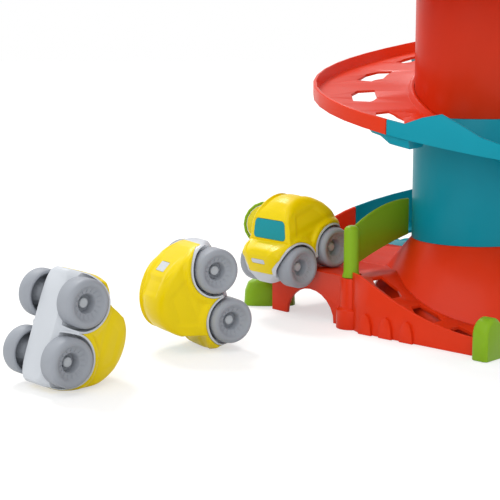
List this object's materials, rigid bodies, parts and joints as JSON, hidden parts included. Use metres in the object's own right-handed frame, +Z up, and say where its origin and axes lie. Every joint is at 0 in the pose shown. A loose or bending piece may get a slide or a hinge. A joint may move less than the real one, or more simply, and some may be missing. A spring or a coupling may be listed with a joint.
{
  "type": "toy car garage with spiral ramp",
  "caption": "Toy garage with a spiral ramp round a column, a landing, a front chute, a swinging gate and roll-along cars",
  "frame": {"origin": "on the floor, on the axis of the column", "axes": "+Z up, -Y towards the viewer, +X to the viewer's right, so that the cars lie at -X"},
  "size_m": [0.5754, 0.4588, 0.3763],
  "materials": {
    "orange": "smooth moulded plastic",
    "teal": "smooth moulded plastic",
    "green": "smooth moulded plastic",
    "yellow": "smooth moulded plastic",
    "white": "smooth moulded plastic",
    "wheel": "satin moulded plastic",
    "axle": "satin moulded plastic",
    "screen": "flat printed panel, left bare"
  },
  "bodies": {
    "garage": {"base_hub": "orange", "landing_start": "orange", "base_track": "orange", "base_chute": "orange", "exit_foot": "green", "chute_end_cap": "green", "column_lower": "teal", "column_upper": "orange", "ramp_segment_1": "orange", "ramp_segment_2": "orange", "ramp_segment_3": "teal", "ramp_segment_4": "teal", "joint_clip_1": "teal", "joint_clip_2": "teal", "joint_clip_3": "teal", "top_deck": "orange", "top_cap": "green", "sign_hoop": "green", "sign_band": "yellow"},
    "diverter": {"diverter_gate": "green"},
    "car_1": {"car_1_shell": "yellow", "car_1_chassis": "white", "car_1_windscreen": "screen", "car_1_front_plate": "white", "car_1_rear_plate": "white"},
    "car_1_front_wheelset": {"car_1_front_axle": "axle", "car_1_front_left_wheel": "wheel", "car_1_front_right_wheel": "wheel"},
    "car_1_rear_wheelset": {"car_1_rear_axle": "axle", "car_1_rear_left_wheel": "wheel", "car_1_rear_right_wheel": "wheel"},
    "car_2": {"car_2_shell": "yellow", "car_2_chassis": "white", "car_2_windscreen": "screen", "car_2_front_plate": "white", "car_2_rear_plate": "white"},
    "car_2_front_wheelset": {"car_2_front_axle": "axle", "car_2_front_left_wheel": "wheel", "car_2_front_right_wheel": "wheel"},
    "car_2_rear_wheelset": {"car_2_rear_axle": "axle", "car_2_rear_left_wheel": "wheel", "car_2_rear_right_wheel": "wheel"},
    "car_3": {"car_3_shell": "yellow", "car_3_chassis": "white", "car_3_windscreen": "screen", "car_3_front_plate": "white", "car_3_rear_plate": "white"},
    "car_3_front_wheelset": {"car_3_front_axle": "axle", "car_3_front_left_wheel": "wheel", "car_3_front_right_wheel": "wheel"},
    "car_3_rear_wheelset": {"car_3_rear_axle": "axle", "car_3_rear_left_wheel": "wheel", "car_3_rear_right_wheel": "wheel"}
  },
  "joints": [
    {"name": "diverter_swing", "type": "hinge", "parent": "garage", "child": "diverter", "pos_m": [-0.1225, -0.046, 0.056], "axis": [0, 0, 1], "range_deg": [0, 30]},
    {"name": "car_1_lift", "type": "slide", "parent": "garage", "child": "car_1", "axis": [0, 0, 1], "range_m": [0, 0.08]},
    {"name": "car_2_lift", "type": "slide", "parent": "garage", "child": "car_2", "axis": [0, 0, 1], "range_m": [0, 0.12]},
    {"name": "car_3_lift", "type": "slide", "parent": "garage", "child": "car_3", "axis": [0, 0, 1], "range_m": [0, 0.12]},
    {"name": "car_1_front_spin", "type": "hinge", "parent": "car_1", "child": "car_1_front_wheelset", "pos_m": [-0.1911, -0.00188, 0.05447], "axis": [0.6561, -0.7547, 0], "continuous": true},
    {"name": "car_1_rear_spin", "type": "hinge", "parent": "car_1", "child": "car_1_rear_wheelset", "pos_m": [-0.15664, 0.02807, 0.0693], "axis": [0.6561, -0.7547, 0], "continuous": true},
    {"name": "car_2_front_spin", "type": "hinge", "parent": "car_2", "child": "car_2_front_wheelset", "pos_m": [-0.25178, -0.11534, 0.02801], "axis": [0.5075, -0.8616, 0], "continuous": true},
    {"name": "car_2_rear_spin", "type": "hinge", "parent": "car_2", "child": "car_2_rear_wheelset", "pos_m": [-0.26422, -0.12266, 0.07379], "axis": [0.5075, -0.8616, 0], "continuous": true},
    {"name": "car_3_front_spin", "type": "hinge", "parent": "car_3", "child": "car_3_front_wheelset", "pos_m": [-0.36845, -0.25145, 0.07125], "axis": [0.6756, -0.7373, 0], "continuous": true},
    {"name": "car_3_rear_spin", "type": "hinge", "parent": "car_3", "child": "car_3_rear_wheelset", "pos_m": [-0.38055, -0.26255, 0.02615], "axis": [0.6756, -0.7373, 0], "continuous": true}
  ]
}
